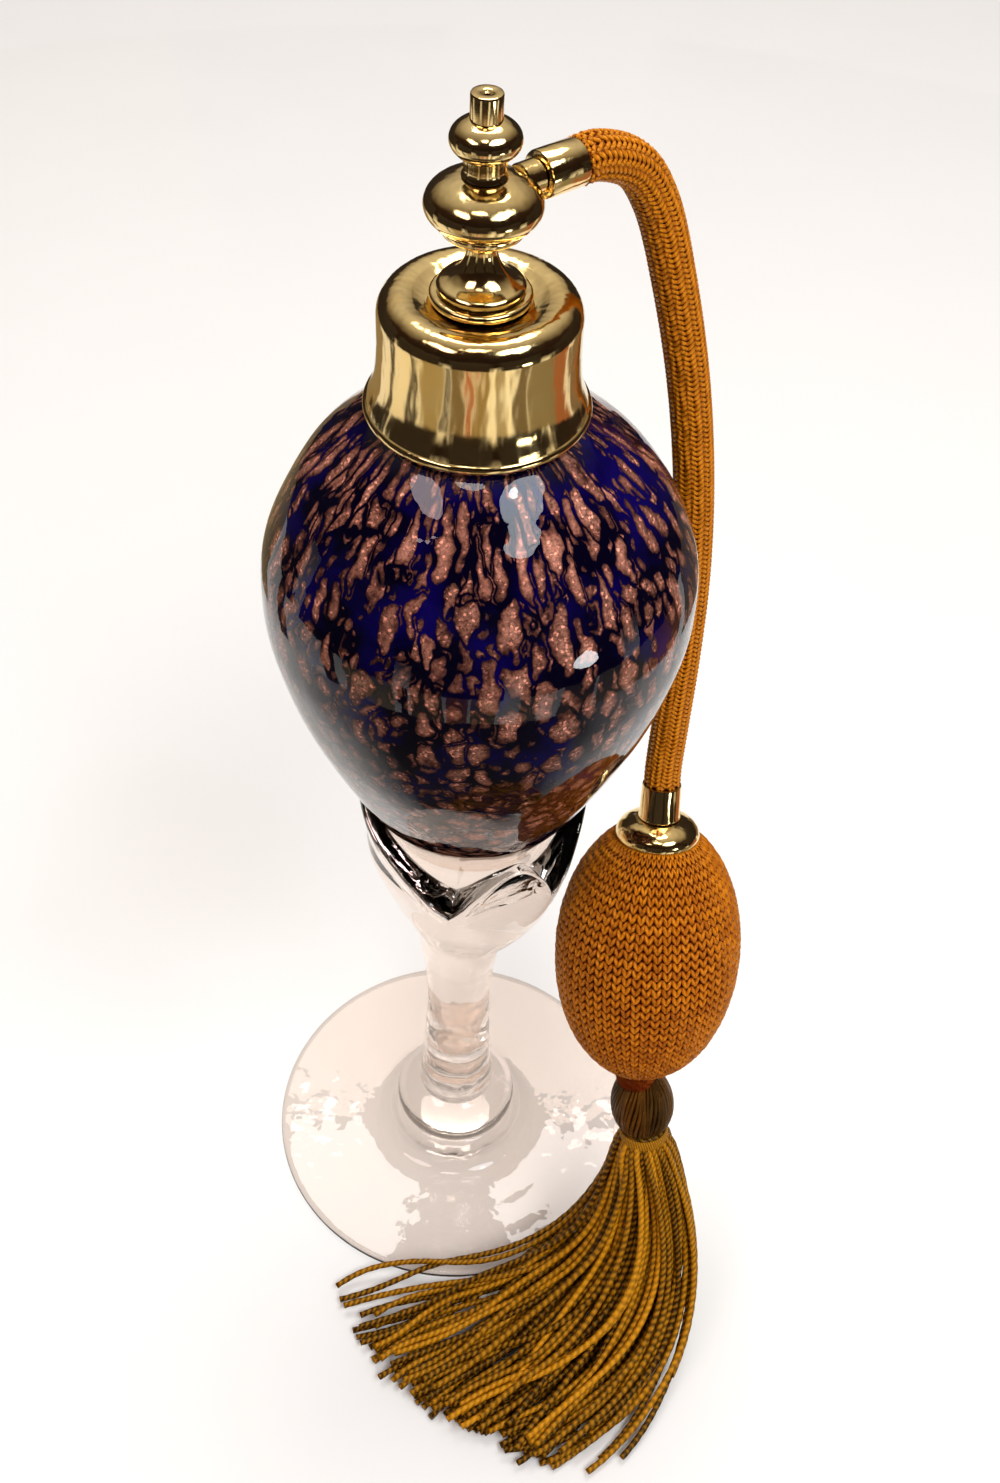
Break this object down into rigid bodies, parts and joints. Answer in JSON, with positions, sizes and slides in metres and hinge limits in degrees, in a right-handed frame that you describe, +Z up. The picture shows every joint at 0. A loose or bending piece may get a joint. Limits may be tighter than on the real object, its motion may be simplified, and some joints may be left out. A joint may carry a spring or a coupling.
{
  "type": "perfume atomizer bottle",
  "caption": "Goblet-stemmed coloured glass perfume bottle with a screw-on gold spray head, braided hose, netted squeeze bulb and tassel.",
  "frame": {"origin": "centre of the foot's flat underside", "axes": "+Z up the bottle's axis to the spray nozzle; +X towards the side that the hose and bulb hang on; +Y towards the back"},
  "size_m": [0.0817, 0.1097, 0.216],
  "materials": {
    "clear_glass": "clear polished glass",
    "art_glass": "cobalt blue glass with copper aventurine flakes under a clear casing",
    "gold_plate": "polished gold plate on brass",
    "brass_part": "plain machined brass",
    "white_plastic": "moulded off-white plastic",
    "tube_plastic": "translucent extruded plastic tube",
    "black_rubber": "black rubber",
    "bulb_rubber": "soft moulded rubber",
    "gold_braid": "braided golden thread",
    "gold_net": "knitted golden thread",
    "tassel_thread": "twisted old-gold rayon thread",
    "steel_ball": "bearing steel ball"
  },
  "bodies": {
    "bottle": {"glass_foot": "clear_glass", "glass_stem": "clear_glass", "glass_calyx": "clear_glass", "glass_vessel": "art_glass", "neck_sleeve": "brass_part"},
    "head": {"turret_head": "gold_plate", "flange_ring": "gold_plate", "retaining_nut": "brass_part", "sealing_washer": "black_rubber", "upper_knob": "gold_plate", "nozzle_post": "gold_plate", "nozzle_jet": "brass_part", "dip_tube": "tube_plastic", "hose_nipple": "brass_part", "hose_ferrule": "gold_plate", "braid_sleeve": "gold_braid", "rubber_hose": "black_rubber", "bulb_ferrule": "gold_plate", "bulb_dome": "gold_plate", "net_cover": "gold_net", "rubber_bulb": "bulb_rubber", "outlet_valve": "brass_part", "inlet_valve": "brass_part", "tassel_cord": "tassel_thread", "tassel_head": "tassel_thread", "tassel_binding": "tassel_thread", "tassel_skirt": "tassel_thread"},
    "collar": {"collar_shell": "gold_plate", "collar_liner": "white_plastic"},
    "outlet_ball": {"outlet_ball": "steel_ball"},
    "inlet_ball": {"inlet_ball": "steel_ball"}
  },
  "joints": [
    {"name": "head_lift", "type": "slide", "parent": "bottle", "child": "head", "axis": [0, 0, 1], "range_m": [0, 0.006]},
    {"name": "collar_turn", "type": "hinge", "parent": "head", "child": "collar", "pos_m": [0, 0, 0.183], "axis": [0, 0, 1], "range_deg": [0, 720]},
    {"name": "bulb_squeeze", "type": "slide", "parent": "head", "child": "outlet_ball", "axis": [0, 0.3746, 0.9272], "range_m": [0, 0.001], "stiffness_N_per_m": 60, "deforming": ["net_cover", "rubber_bulb"]},
    {"name": "inlet_valve_lift", "type": "slide", "parent": "head", "child": "inlet_ball", "axis": [0, 0.3746, 0.9272], "range_m": [0, 0.001]}
  ],
  "couplings": [
    {"joint": "collar_turn", "follows": "head_lift", "rad_per_m": 2094.3}
  ]
}
